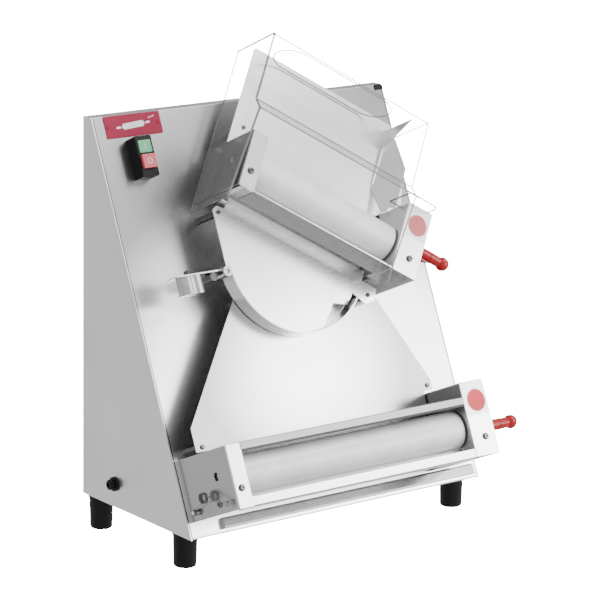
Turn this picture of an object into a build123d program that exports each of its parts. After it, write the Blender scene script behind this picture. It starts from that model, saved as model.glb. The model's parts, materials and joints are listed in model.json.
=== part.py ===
from build123d import *
import os
from dataclasses import dataclass
from math import atan2, cos, hypot, pi, radians, sin, sqrt

# Two-stage countertop dough sheeter. Lengths are millimetres.
# World frame: X to the operator's right, Y towards the back, Z up.
# Panel frame: x to the right, y up the sloping front panel, z out of it.
# Head frame: x along the rollers, y across the head, z out of the panel.

# --- housing
housing_width = 550.0
housing_height = 581.0
base_depth = 283.0
top_depth = 20.5
housing_sheet = 2.0
joint_gap = 0.3

# --- feet
foot_rise = 52.5
foot_bottom_radius = 17.0
foot_top_radius = 19.5
foot_rim = 3.5
foot_side_inset = 19.5
foot_front_inset = 43.0
foot_back_inset = 21.0
foot_bolt_radius = 4.0

# --- roller heads, shared by the upper and the lower one
head_depth = 125.0
head_height = 93.0
gearcase_height = 116.5
gearcase_width = 47.0
head_sheet = 1.5
flange_width = 28.0
plate_thickness = 8.0
left_plate_x = 10.0
roller_radius = 29.5
roller_axis_y = 49.5
back_axis_z = 27.7
closed_gap = 0.6
gap_travel = 3.6
roller_left_x = 31.0
roller_right_clearance = 2.5
shaft_radius = 9.0
running_clearance = 0.05
hub_radius = 14.0
bush_radius = 11.5
eccentric_radius = 8.0
eccentric_clearance = 0.8
journal_radius = 6.0
gear_teeth = 14
gear_root_radius = 26.8
gear_tip_radius = 32.2
gear_width = 9.0
sprocket_radius = 20.0
sprocket_width = 5.0
chain_thickness = 5.0
chain_clearance = 0.5
motor_axis_z = -50.0
motor_radius = 33.0
motor_length = 118.0
gearbox_size = 66.0
gearbox_length = 52.0
bracket_sheet = 4.0
casing_screw_x = 14.0
casing_screw_y = 29.0
gearcase_screw_x = 26.0
casing_screw_radius = 5.2

# --- thickness lever
lever_swing = 50.0
lever_closed_angle = -23.5
lever_radius = 25.0
lever_thickness = 9.0
lever_hub_radius = 11.0
lever_wall_gap = 0.5
sleeve_radius = 8.6
sleeve_length = 16.5
gusset_reach = 26.5
grip_radius = 7.6
grip_pin_radius = 3.5
ball_radius = 10.8
ball_overhang = 43.8

# --- scrapers
scraper_y = 13.0
scraper_back_z = 22.0
scraper_front_z = 100.0
scraper_radius = 3.0
scraper_coil_radius = 8.5
scraper_wire = 1.1
scraper_coil_turns = 3

# --- plates that guide the dough
guide_sheet = 1.5
slide_height = 41.0
chute_height = 55.5
chute_radius = 121.0
chute_centre_x = -18.6
chute_centre_y = 386.0
standoff_radius = 5.5
guide_screw_radius = 3.6

# --- rocker
band_clearance = 2.5
band_sheet = 2.0
band_back = 42.8
band_front = 70.0
band_start_angle = 183.0
band_end_angle = 317.0
pivot_x = -152.3
pivot_y = 371.6
pivot_hub_radius = 8.0
pivot_pin_radius = 4.0
arm_length = 86.0
counterweight_size = (40.0, 27.0, 25.0)
weight_travel = 9.0
stop_post_radius = 6.5
stop_post_offset = 19.0

# --- infeed and guard of the upper head
infeed_height = 44.5
infeed_top_y = 263.5
infeed_width = 267.0
cheek_x = 261.0
cheek_bottom_y = 154.0
guard_sheet = 3.0
guard_left_x = -13.5
guard_right_x = 286.0
guard_lower_end_x = 292.0
guard_band_end_x = 306.0
guard_band_height = 8.0
guard_bend_radius = 3.0
guard_pin_radius = 3.0
guard_bottom_y = -28.0
guard_step_low_y = 118.0
guard_step_high_y = 139.0
guard_top_y = 255.0
guard_back_z = 26.0
guard_upper_z = 129.0
guard_lower_z = 148.0
guard_bottom_z = 129.0
inlet_length = 212.0
inlet_width = 68.0
inlet_centre_x = 129.0
inlet_centre_z = 83.5

# --- small parts on the housing
switch_size = (30.0, 62.0, 24.0)
switch_x = -209.7
switch_y = 566.5
start_size = (22.0, 19.0)
stop_size = (23.0, 21.0)
button_travel = 2.5
button_depth = 8.0
nameplate_size = (100.0, 34.0)
nameplate_x = -205.0
nameplate_y = 619.5
nameplate_sheet = 1.0
gland_y = -86.0
gland_z = 88.5
gland_radius = 11.0

tilt = atan2(base_depth - top_depth, housing_height)
panel = Plane(
    origin=(0, -base_depth, foot_rise),
    x_dir=(1, 0, 0),
    z_dir=(0, -cos(tilt), sin(tilt)),
)
closed_axis_z = back_axis_z + 2 * roller_radius + closed_gap


@dataclass
class Head:
    """One roller head: where it sits on the panel and how it differs from the other."""

    name: str
    left: float
    foot: float
    turn: float
    length: float
    setting: float
    lip: float
    springs: bool

    @property
    def case_x(self):
        """Left wall of the gear case."""
        return self.length - gearcase_width

    @property
    def front_axis_z(self):
        """Axis of the front roller at this head's resting gap."""
        return closed_axis_z + gap_travel * self.setting

    @property
    def eccentric_z(self):
        """Fixed axis that the eccentric shaft turns about: the middle of the travel."""
        return closed_axis_z + gap_travel / 2

    def place(self, shape):
        """Moves a shape from the head frame to the world frame."""
        on_panel = Location((self.left, self.foot, 0), (0, 0, -self.turn))
        return panel.location * on_panel * shape


upper = Head("upper", -133.7, 489.2, 33.6, 334.8, 0.5, 3.0, False)
lower = Head("lower", -267.8, 25.4, 0.0, 493.3, 0.0, 13.7, True)
heads = (upper, lower)


# ------------------------------------------------------------------ helpers
def block(low, high):
    """Box between its lowest and its highest corner."""
    size = [b - a for a, b in zip(low, high)]
    middle = [(a + b) / 2 for a, b in zip(low, high)]
    return Pos(*middle) * Box(*size)


def rod_x(x0, x1, y, z, radius):
    """Round bar along x."""
    return Pos((x0 + x1) / 2, y, z) * Rot(0, 90, 0) * Cylinder(radius, x1 - x0)


def rod_y(x, y0, y1, z, radius):
    """Round bar along y."""
    return Pos(x, (y0 + y1) / 2, z) * Rot(90, 0, 0) * Cylinder(radius, y1 - y0)


def rod_z(x, y, z0, z1, radius):
    """Round bar along z."""
    return Pos(x, y, (z0 + z1) / 2) * Cylinder(radius, z1 - z0)


def screw_z(x, y, seat_z, head_radius, length):
    """Domed screw whose head sits at seat_z and whose shank goes down z."""
    head = rod_z(x, y, seat_z, seat_z + 0.6 * head_radius, head_radius)
    head = fillet(head.edges().group_by(Axis.Z)[-1], 0.4 * head_radius)
    recess = rod_z(x, y, seat_z + 0.3 * head_radius, seat_z + head_radius, 0.35 * head_radius)
    shank = rod_z(x, y, seat_z - length, seat_z, 0.5 * head_radius)
    return head - recess + shank


def shifted_line(points, distance):
    """The points of a polyline moved to its left by a distance, with mitred corners."""
    moved = []
    last = len(points) - 1
    for i, (px, py) in enumerate(points):
        normals = []
        for a, b in ((i - 1, i), (i, i + 1)):
            if a >= 0 and b <= last:
                dx = points[b][0] - points[a][0]
                dy = points[b][1] - points[a][1]
                run = hypot(dx, dy)
                normals.append((-dy / run, dx / run))
        nx = sum(n[0] for n in normals)
        ny = sum(n[1] for n in normals)
        stretch = distance * len(normals) / (nx * nx + ny * ny)
        moved.append((px + nx * stretch, py + ny * stretch))
    return moved


def bent_profile(points, thickness, inner_radius):
    """Face of a sheet that follows the points, thickness to their left, with round bends."""
    other = shifted_line(points, thickness)
    near = []
    far = []
    for i in range(1, len(points) - 1):
        ax = points[i][0] - points[i - 1][0]
        ay = points[i][1] - points[i - 1][1]
        bx = points[i + 1][0] - points[i][0]
        by = points[i + 1][1] - points[i][1]
        turns_left = ax * by - ay * bx > 0
        near.append(inner_radius + (thickness if turns_left else 0))
        far.append(inner_radius + (0 if turns_left else thickness))
    first = FilletPolyline(*points, radius=near)
    second = FilletPolyline(*other, radius=far)
    caps = [Line(points[0], other[0]), Line(points[-1], other[-1])]
    return make_face([*first.edges(), *second.edges(), *caps])


def extrude_x(face, x0, x1):
    """Extrudes a face drawn in (y, z) along x."""
    return Pos(x0, 0, 0) * extrude(Plane.YZ * face, amount=x1 - x0)


def extrude_y(face, y0, y1):
    """Extrudes a face drawn in (x, z) along y."""
    return Pos(0, y0, 0) * extrude(Plane.XZ * face, amount=-(y1 - y0))


def polygon(points):
    """Closed flat face through the points."""
    return make_face(Polyline(*points, close=True))


def on_panel(shape):
    """Moves a shape from the panel frame to the world frame."""
    return panel.location * shape


def from_head(head, x, y):
    """Panel x, y of a point given in a head's frame."""
    c = cos(radians(head.turn))
    s = sin(radians(head.turn))
    return head.left + x * c + y * s, head.foot - x * s + y * c


# ------------------------------------------------------------------ housing
def side_panel(side):
    """Wedge-shaped side sheet; side is -1 for the left and 1 for the right."""
    top = foot_rise + housing_height
    outline = polygon(
        [(0, foot_rise), (0, top), (-top_depth, top), (-base_depth, foot_rise)]
    )
    outer = side * housing_width / 2
    inner = outer - side * housing_sheet
    sheet = extrude_x(outline, min(outer, inner), max(outer, inner))
    if side < 0:
        sheet -= rod_x(outer - 1, inner + 1, gland_y, gland_z, 0.7 * gland_radius)
    return sheet


def front_panel():
    """Sloping front, bent back over the top and under the bottom, with its openings."""
    top = foot_rise + housing_height
    half = housing_width / 2 - housing_sheet
    turned_in = 20.0
    line = [
        (-housing_sheet, top),
        (-top_depth, top),
        (-base_depth, foot_rise),
        (-base_depth + turned_in, foot_rise),
    ]
    sheet = extrude_x(bent_profile(line, housing_sheet, 0.5), -half, half)
    for head in heads:
        for window in panel_windows(head):
            sheet -= head.place(window)
    switch_hole = block((-10, -20, -5), (10, 20, 5))
    sheet -= on_panel(Pos(switch_x, switch_y, 0) * switch_hole)
    return sheet


def panel_windows(head):
    """Openings in the front panel for the back roller, its gear and the drive chain."""
    start, end = roller_span(head)
    gear_start = gear_x(head)
    gear_end = gear_start + gear_width
    chain_start, chain_end = sprocket_span(head)
    return [
        rod_x(start - 2, end + 2, roller_axis_y, back_axis_z, roller_radius + 2),
        rod_x(gear_start - 2, gear_end + 2, roller_axis_y, back_axis_z, gear_tip_radius + 2),
        block(
            (chain_start - 4, roller_axis_y - chain_reach(), -6),
            (chain_end + 4, roller_axis_y + chain_reach(), 6),
        ),
    ]


def chain_reach():
    """Half the height of the chain's window in the panel."""
    return sprocket_radius + chain_clearance + chain_thickness + 3


def back_cover():
    """Removable back sheet with two rows of cooling slots."""
    inset = housing_sheet + joint_gap
    half = housing_width / 2 - inset
    low = foot_rise + inset
    high = foot_rise + housing_height - inset
    sheet = block((-half, -housing_sheet, low), (half, 0, high))
    slots_per_row = 9
    slot_pitch = 26.0
    for row_z in (foot_rise + 90, foot_rise + 130, foot_rise + 330, foot_rise + 370):
        for i in range(slots_per_row):
            x = (i - (slots_per_row - 1) / 2) * slot_pitch
            slot = Rot(90, 0, 0) * extrude(SlotOverall(26, 5, 90), amount=10, both=True)
            sheet -= Pos(x, 0, row_z) * slot
    for x, z in cover_screw_places():
        sheet -= rod_y(x, -10, 10, z, 2.0)
    return sheet


def cover_screw_places():
    """Where the back cover's screws go, as world x and z."""
    edge_x = housing_width / 2 - 14
    low = foot_rise + 16
    high = foot_rise + housing_height - 16
    rows = [low + (high - low) * i / 3 for i in range(4)]
    return [(side * edge_x, z) for z in rows for side in (-1, 1)]


def base_plate():
    """Bottom sheet that carries the feet."""
    half = housing_width / 2 - housing_sheet - joint_gap
    low = foot_rise + housing_sheet + joint_gap
    front = -base_depth + 6
    sheet = block((-half, front, low), (half, -housing_sheet - joint_gap, low + housing_sheet))
    for x, y in foot_places():
        sheet -= rod_z(x, y, low - 5, low + 10, foot_bolt_radius)
    return sheet


def foot_places():
    """Centres of the four feet."""
    x = housing_width / 2 - foot_side_inset
    front = -base_depth + foot_front_inset
    return [(side * x, y) for y in (front, -foot_back_inset) for side in (-1, 1)]


def foot(x, y):
    """Tapered rubber foot with a rim at the top and a blind bolt hole."""
    profile = FilletPolyline(
        (0, 0),
        (foot_bottom_radius, 0),
        (foot_top_radius - 1.2, foot_rise - foot_rim - 0.6),
        (foot_top_radius, foot_rise - foot_rim),
        (foot_top_radius, foot_rise),
        radius=[3.0, 0.4, 0.4],
    )
    close = Line((foot_top_radius, foot_rise), (0, foot_rise))
    axis = Line((0, foot_rise), (0, 0))
    face = make_face([*profile.edges(), close, axis])
    body = revolve(Plane.XZ * face, Axis.Z, 360)
    bolt_hole = rod_z(0, 0, foot_rise - 18, foot_rise + 1, foot_bolt_radius)
    return Pos(x, y, 0) * (body - bolt_hole)


def foot_bolt(x, y):
    """Bolt from inside the housing down into a foot."""
    seat = foot_rise + 2 * housing_sheet + joint_gap
    shank = rod_z(x, y, foot_rise - 17, seat, foot_bolt_radius - running_clearance)
    head = extrude(RegularPolygon(7.0, 6), amount=5)
    return shank + Pos(x, y, seat) * head


def discharge_lip():
    """Low bent rail under the lower rollers that leads the dough off the machine."""
    line = [(8.5, 0.2), (8.5, 7.0), (21.0, 5.0), (23.0, 0.2)]
    half_start = -housing_width / 2 + 58
    half_end = housing_width / 2 - 12
    rail = extrude_x(bent_profile(line, 1.2, 0.8), half_start, half_end)
    return rail + extrude_x(polygon(line), half_start, half_start + 1.2)


# ------------------------------------------------------------------ dough guides
def slide_outline():
    """Corners of the slide plate in the panel frame."""
    left_wall = lower.left + head_sheet + 2
    left_top = lower.foot + head_height + 3
    inner_left = lower.left + flange_width
    case_left = lower.left + lower.case_x - 2.5
    case_top = lower.foot + gearcase_height + 4
    roller_top = lower.foot + roller_axis_y + roller_radius + 2
    return [
        (inner_left, roller_top),
        (case_left, roller_top),
        (case_left, case_top),
        (case_left + 18.5, case_top),
        (case_left + 18.5, case_top + 16),
        from_head(upper, upper.length - 11, -12.6),
        from_head(upper, upper.case_x - 22, 4.0),
        (-119.5, 349.0),
        (left_wall + 6, left_top + 36),
        (left_wall + 6, left_top),
        (inner_left, left_top),
    ]


def slide_screw_places():
    """Slide plate screws in the panel frame."""
    case_left = lower.left + lower.case_x
    case_top = lower.foot + gearcase_height
    return [
        (lower.left + 21.5, lower.foot + head_height + 9.5),
        (case_left + 7, case_top + 11.5),
        (-100.0, 331.0),
        (62.0, 331.0),
    ]


def slide_plate():
    """Large plate that the dough slides down to the lower rollers."""
    plate = extrude(polygon(slide_outline()), amount=-guide_sheet)
    for x, y in slide_screw_places():
        plate -= rod_z(x, y, -5, 5, guide_hole_radius())
    plate -= rod_z(*chute_tab(), -5, 5, standoff_radius + joint_gap)
    return Pos(0, 0, slide_height) * plate


def chute_tab():
    """Chute screw at the lower right, beyond the upper gear case's left wall."""
    return from_head(upper, upper.case_x + 12.6, -22.7)


def chute_screw_places():
    """Chute plate screws in the panel frame."""
    left = chute_centre_x - chute_radius
    return [(left + 8.5, 462.5), chute_tab()]


def chute_plate():
    """Half-round plate under the upper rollers that hands the dough to the rocker."""
    left = chute_centre_x - chute_radius
    tab_x, tab_y = chute_tab()
    corner = 10.0
    under_head = 10.0
    points = [
        (left, 468.0),
        (left + 8.0, 473.0),
        (left + 20.0, 466.8),
        from_head(upper, flange_width - 1, 1.0),
        from_head(upper, flange_width - 1, under_head),
        from_head(upper, upper.case_x - 4, under_head),
        from_head(upper, upper.case_x - 4, -6.0),
        from_head(upper, upper.case_x + 24, -6.0),
        (tab_x + corner, tab_y - corner),
        (tab_x - 8.0, tab_y - 12.5),
    ]
    end_angle = radians(322.0)
    arc_end = (
        chute_centre_x + chute_radius * cos(end_angle),
        chute_centre_y + chute_radius * sin(end_angle),
    )
    mid_angle = radians(250.0)
    arc_mid = (
        chute_centre_x + chute_radius * cos(mid_angle),
        chute_centre_y + chute_radius * sin(mid_angle),
    )
    arc_start = (left, chute_centre_y)
    rim = ThreePointArc(arc_start, arc_mid, arc_end)
    rest = Polyline(arc_end, *reversed(points), arc_start)
    face = make_face([*rim.edges(), *rest.edges()])
    relief = [
        polar(chute_radius + 2, 282),
        polar(chute_radius - 20, 303),
        polar(chute_radius + 2, 312),
        polar(chute_radius + 20, 297),
    ]
    plate = extrude(face - polygon(relief), amount=-guide_sheet)
    for x, y in chute_screw_places():
        plate -= rod_z(x, y, -5, 5, guide_hole_radius())
    return Pos(0, 0, chute_height) * plate


def polar(radius, angle):
    """Panel x, y of a point on a circle about the chute plate's centre."""
    a = radians(angle)
    return chute_centre_x + radius * cos(a), chute_centre_y + radius * sin(a)


def plate_standoffs():
    """Round posts that hold the two plates off the panel, and the rocker's stop post."""
    posts = []
    for places, height in (
        (slide_screw_places(), slide_height - guide_sheet),
        (chute_screw_places(), chute_height - guide_sheet),
    ):
        for x, y in places:
            post = rod_z(x, y, 0, height, standoff_radius)
            post -= rod_z(x, y, height - 12, height + 1, 0.5 * guide_screw_radius)
            posts.append(on_panel(post))
    arm_underside = pivot_y + 5.0 - band_sheet
    stop_y = arm_underside - 0.1 - stop_post_radius
    stop_x = pivot_x - stop_post_offset
    posts.append(on_panel(rod_z(stop_x, stop_y, 0, band_front - 6, stop_post_radius)))
    return posts


def guide_screw(x, y, height):
    """Pan-head screw of a guide plate."""
    return screw_z(x, y, height, guide_screw_radius, 10.0)


# ------------------------------------------------------------------ rocker
def rocker_band():
    """Curved strip that catches the dough, with the eye that it turns on."""
    inner = chute_radius + band_clearance
    outer = inner + band_sheet
    ring = Circle(outer) - Circle(inner)
    reach = 2 * outer
    wedge = polygon(
        [(0, 0)]
        + [
            (reach * cos(radians(a)), reach * sin(radians(a)))
            for a in (band_start_angle, 225, 270, band_end_angle)
        ]
    )
    strip = Pos(chute_centre_x, chute_centre_y) * (ring & wedge)
    strip = extrude(strip, amount=band_front - band_back)
    eye = Pos(pivot_x, pivot_y) * Circle(pivot_hub_radius)
    start = polar(inner + band_sheet / 2, band_start_angle + 1)
    web = polygon(
        [
            (pivot_x, pivot_y + pivot_hub_radius - 1),
            (pivot_x, pivot_y - pivot_hub_radius + 1),
            (start[0] - 0.6, start[1] - 4),
            (start[0] + 0.6, start[1] + 1),
        ]
    )
    boss = extrude(eye + web, amount=band_front - band_back)
    body = Pos(0, 0, band_back) * (strip + boss)
    bore = rod_z(pivot_x, pivot_y, 0, 200, pivot_pin_radius + running_clearance)
    return body - bore


def arm_top():
    """Height of the arm's upper face in the panel frame."""
    return pivot_y + 5.0


def counterweight_arm():
    """Flat strip from the eye out to the left, with a slot for the weight's screw."""
    z0 = band_back + 2
    z1 = band_front - 2
    right = pivot_x - pivot_hub_radius + 2.0
    left = pivot_x - arm_length
    strip = block((left, arm_top() - band_sheet, z0), (right, arm_top(), z1))
    strip -= Pos(pivot_x, pivot_y, 0) * rod_z(0, 0, 0, 200, pivot_hub_radius)
    slot = extrude(SlotOverall(34.0, 7.0), amount=20, both=True)
    slot = Pos(weight_x(), arm_top(), (z0 + z1) / 2) * (Rot(90, 0, 0) * slot)
    return strip - slot


def weight_x():
    """Middle of the counterweight along the arm."""
    return pivot_x - arm_length + counterweight_size[0] / 2 + weight_travel - 2


def counterweight():
    """Rounded steel weight that hangs under the arm."""
    length, height, depth = counterweight_size
    top = arm_top() - band_sheet - joint_gap
    z_mid = (band_back + band_front) / 2
    shape = extrude(RectangleRounded(length, depth, depth / 2 - 1), amount=height)
    shape = Rot(90, 0, 0) * shape
    waist = rod_y(0, -height - 1, 1, depth / 2 + 9, 11.0)
    shape = shape - waist - rod_y(0, -14, 1, 0, 3.0)
    return Pos(weight_x(), top, z_mid) * shape


def counterweight_screw():
    """Clamp screw of the counterweight, through the slot of the arm."""
    z_mid = (band_back + band_front) / 2
    x = weight_x()
    seat = arm_top() + joint_gap
    shank = rod_y(x, arm_top() - band_sheet - joint_gap - 13, seat, z_mid, 3.0)
    washer = rod_y(x, seat, seat + 1.5, z_mid, 7.5)
    head = rod_y(x, seat + 1.2, seat + 6.7, z_mid, 5.2)
    return shank + washer + head


def rocker_pivot_bolt():
    """Shouldered bolt and its post, which the rocker turns on."""
    post = rod_z(0, 0, 0, band_back - joint_gap, pivot_hub_radius)
    pin = rod_z(0, 0, band_back - joint_gap, band_front + joint_gap, pivot_pin_radius)
    head = rod_z(0, 0, band_front + joint_gap, band_front + 4.5, pivot_hub_radius)
    head = fillet(head.edges().group_by(Axis.Z)[-1], 1.2)
    socket = Pos(0, 0, band_front + 2) * extrude(RegularPolygon(3.6, 6), amount=6)
    return Pos(pivot_x, pivot_y, 0) * (post + pin + (head - socket))


# ------------------------------------------------------------------ heads
def sprocket_span(head):
    """Where the drive sprockets and the chain lie along x."""
    start = head.case_x + 33.0
    return start, start + sprocket_width


def plate_x(head):
    """Left faces of the two bearing plates."""
    return left_plate_x, head.case_x + gearcase_screw_x - plate_thickness / 2


def gear_x(head):
    """Left face of the two meshing gears."""
    return head.case_x + 4.0


def left_casing(head):
    """Bent cover over the left ends of the rollers."""
    corner = [
        (0, 0),
        (0, head_depth),
        (flange_width, head_depth),
    ]
    mirrored = [(x, z) for x, z in reversed(corner)]
    cover = extrude_y(bent_profile(mirrored, head_sheet, 2.0), 0, head_height)
    cover -= rod_x(-1, 3, eccentric_axis_y(), head.eccentric_z, journal_radius + 0.5)
    if head.springs:
        for z in (scraper_back_z, scraper_front_z):
            cover -= rod_x(-1, 3, scraper_y, z, scraper_radius + 1)
    cover -= rod_z(casing_screw_x, casing_screw_y, 100, 200, casing_hole_radius())
    return cover


def gear_case(head):
    """Box over the gears at the right end, open towards the panel."""
    x0 = head.case_x
    outer = block((x0, 0, 0), (head.length, gearcase_height, head_depth))
    outer = fillet(outer.edges().filter_by(Axis.Z), 4.0)
    outer = fillet(outer.edges().group_by(Axis.Z)[-1], 1.5)
    t = head_sheet
    inner = block((x0 + t, t, -1), (head.length - t, gearcase_height - t, head_depth - t))
    inner = fillet(inner.edges().filter_by(Axis.Z), 2.0)
    case = outer - inner
    hub = hub_radius + 1.5
    case -= rod_x(x0 - 1, x0 + t + 1, roller_axis_y, back_axis_z, hub)
    for z in (closed_axis_z, closed_axis_z + gap_travel):
        case -= rod_x(x0 - 1, x0 + t + 1, roller_axis_y, z, hub)
    wall = head.length
    case -= rod_x(wall - t - 1, wall + 1, eccentric_axis_y(), head.eccentric_z, journal_radius + 0.5)
    case -= rod_z(x0 + gearcase_screw_x, casing_screw_y, 100, 200, casing_hole_radius())
    for z in (scraper_back_z, scraper_front_z):
        case -= rod_x(x0 - 1, x0 + t + 1, scraper_y, z, scraper_radius + 0.5)
    ear_x, ear_z = guard_ear_screw()
    case -= rod_y(ear_x, gearcase_height - 5, gearcase_height + 5, ear_z, guide_hole_radius())
    return case


def guide_hole_radius():
    """Clearance hole for the small screws."""
    return 0.5 * guide_screw_radius + 0.2


def bearing_plates(head):
    """The two thick plates that carry the roller bearings."""
    plates = []
    for x in plate_x(head):
        top = head_height - 5
        plate = block((x, 5, 0), (x + plate_thickness, top, head_depth - 5))
        plate = fillet(plate.edges().filter_by(Axis.X), 3.0)
        x0 = x - 1
        x1 = x + plate_thickness + 1
        plate -= rod_x(x0, x1, roller_axis_y, back_axis_z, bearing_radius())
        journal = journal_radius + running_clearance
        plate -= rod_x(x0, x1, eccentric_axis_y(), head.eccentric_z, journal)
        for z in (scraper_back_z, scraper_front_z):
            plate -= rod_x(x0, x1, scraper_y, z, scraper_radius)
        plate -= rod_z(x + plate_thickness / 2, casing_screw_y, 105, 200, casing_hole_radius())
        plates.append(plate)
    return plates


def casing_hole_radius():
    """Holes of the screws that hold the casings to the bearing plates."""
    return 0.5 * casing_screw_radius + running_clearance


def bearing_radius():
    """Outer radius of the back shaft's bearings."""
    return shaft_radius + 6.0


def back_bearings(head):
    """Plain flanged bearings of the back shaft."""
    rings = []
    for x in plate_x(head):
        x1 = x + plate_thickness
        ring = rod_x(x, x1, roller_axis_y, back_axis_z, bearing_radius())
        bore_radius = shaft_radius + running_clearance
        rings.append(ring - rod_x(x - 1, x1 + 1, roller_axis_y, back_axis_z, bore_radius))
    return rings


def front_cover(head):
    """Bent strip along the front edge of the head, under the front roller."""
    x0 = flange_width + joint_gap
    x1 = head.case_x - joint_gap
    bottom_depth = 42.0
    line = [
        (0, head_depth - bottom_depth),
        (0, head_depth),
        (head.lip, head_depth),
    ]
    return extrude_x(bent_profile(line[::-1], head_sheet, 0.5), x0, x1)


def top_cover(head):
    """Bent strip over the lower head's front roller."""
    x0 = flange_width + joint_gap
    x1 = head.case_x - joint_gap
    depth = 44.0
    lip_height = 12.6
    line = [
        (head_height - lip_height, head_depth - 2),
        (head_height - lip_height + 3, head_depth),
        (head_height, head_depth),
        (head_height, head_depth - depth),
        (head_height - 4, head_depth - depth - 14),
    ]
    return extrude_x(bent_profile(line, head_sheet - 0.5, 0.5), x0, x1)


def roller_span(head):
    """Ends of the wide part of the rollers."""
    return roller_left_x, head.case_x - roller_right_clearance


def back_roller(head):
    """Plastic sleeve of the back roller, with the hub for its gear."""
    x0, x1 = roller_span(head)
    hub_end = gear_x(head) + gear_width
    sleeve = rod_x(x0, x1, roller_axis_y, back_axis_z, roller_radius)
    sleeve = fillet(sleeve.edges(), 1.0)
    sleeve += rod_x(x1, hub_end, roller_axis_y, back_axis_z, hub_radius)
    return sleeve - rod_x(x0 - 1, hub_end + 1, roller_axis_y, back_axis_z, shaft_radius)


def back_shaft(head):
    """Driven shaft of the back roller."""
    end = sprocket_span(head)[1] + 3
    return rod_x(left_plate_x - 3, end, roller_axis_y, back_axis_z, shaft_radius)


def front_roller(head):
    """Plastic sleeve of the front roller, which runs on two bushes."""
    x0, x1 = roller_span(head)
    hub_end = gear_x(head) + gear_width
    z = head.front_axis_z
    sleeve = rod_x(x0, x1, roller_axis_y, z, roller_radius)
    sleeve = fillet(sleeve.edges(), 1.0)
    sleeve += rod_x(x1, hub_end, roller_axis_y, z, hub_radius)
    return sleeve - rod_x(x0 - 1, hub_end + 1, roller_axis_y, z, bush_radius + running_clearance)


def front_bushes(head):
    """Bushes between the eccentric shaft and the front roller."""
    x0 = roller_span(head)[0]
    hub_end = gear_x(head) + gear_width
    bushes = []
    for start in (x0 + 1, hub_end - 23):
        z = head.front_axis_z
        ring = rod_x(start, start + 22, roller_axis_y, z, bush_radius)
        bore_radius = eccentric_radius + eccentric_clearance
        bushes.append(ring - rod_x(start - 1, start + 23, roller_axis_y, z, bore_radius))
    return bushes


def eccentric_shaft(head):
    """Shaft that the lever turns; its middle runs off centre and moves the front roller."""
    y = eccentric_axis_y()
    z = head.eccentric_z
    left_end = 4.0
    x0 = left_plate_x + plate_thickness + 1
    x1 = plate_x(head)[1] - 1
    throw = eccentric_throw()
    angle = radians(lever_swing * (head.setting - 0.5))
    middle = rod_x(x0, x1, y - throw * cos(angle), z + throw * sin(angle), eccentric_radius)
    left = rod_x(left_end, x0, y, z, journal_radius)
    right = rod_x(x1, head.length + lever_thickness, y, z, journal_radius)
    return left + middle + right


def eccentric_throw():
    """Throw whose chord over the lever's swing is the travel of the gap."""
    return gap_travel / (2 * sin(radians(lever_swing / 2)))


def eccentric_axis_y():
    """Axis the shaft turns about, set so that its middle strays least from the roller axis."""
    return roller_axis_y + eccentric_throw() * (1 + cos(radians(lever_swing / 2))) / 2


def long_tooth_gear(bore, phase):
    """Gear with long slim teeth, which stay in mesh over the whole travel of the gap."""
    root_width = 6.0
    tip_width = 2.0
    points = []
    for i in range(gear_teeth):
        a = 2 * pi * (i + phase) / gear_teeth
        corners = (
            (gear_root_radius, -root_width / 2),
            (gear_tip_radius, -tip_width / 2),
            (gear_tip_radius, tip_width / 2),
            (gear_root_radius, root_width / 2),
        )
        for radius, side in corners:
            along = sqrt(radius * radius - side * side)
            points.append(
                (along * cos(a) - side * sin(a), along * sin(a) + side * cos(a))
            )
    return extrude(polygon(points) - Circle(bore), amount=gear_width)


def on_roller_axis(shape, x, z):
    """Stands a shape drawn about the z axis on a roller axis, from x along the head."""
    return Pos(x, roller_axis_y, z) * (Rot(0, 90, 0) * shape)


def drive_gear(head):
    """Gear and chain sprocket of the back roller."""
    gear = on_roller_axis(long_tooth_gear(hub_radius, 0.5), gear_x(head), back_axis_z)
    wheel = on_roller_axis(sprocket(), sprocket_span(head)[0], back_axis_z)
    return [gear, wheel]


def sprocket(teeth=16):
    """Toothed wheel for the drive chain, about the z axis."""
    wheel = Circle(sprocket_radius - 2.5)
    for i in range(teeth):
        angle = 360 / teeth * i
        wheel += Rot(0, 0, angle) * Pos(sprocket_radius - 2.5, 0) * RectangleRounded(5.0, 3.6, 1.2)
    return extrude(wheel - Circle(shaft_radius), amount=sprocket_width)


def driven_gear(head):
    """Gear on the front roller's hub."""
    gear = long_tooth_gear(hub_radius, 0.0)
    return on_roller_axis(gear, gear_x(head), head.front_axis_z)


def motor_sprocket(head):
    """Sprocket and output shaft of the geared motor."""
    x0, x1 = sprocket_span(head)
    wheel = on_roller_axis(sprocket(), x0, motor_axis_z)
    shaft = rod_x(x0 - 14, x1 + 2, roller_axis_y, motor_axis_z, shaft_radius)
    return wheel + shaft


def drive_chain(head):
    """Closed chain round the two sprockets."""
    x0, x1 = sprocket_span(head)
    spacing = back_axis_z - motor_axis_z
    inner = sprocket_radius + chain_clearance
    outer = inner + chain_thickness
    loop = SlotCenterToCenter(spacing, 2 * outer) - SlotCenterToCenter(spacing, 2 * inner)
    chain = extrude(loop, amount=x1 - x0)
    middle = (back_axis_z + motor_axis_z) / 2
    return Pos(x0, roller_axis_y, middle) * (Rot(0, 90, 0) * chain)


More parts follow.
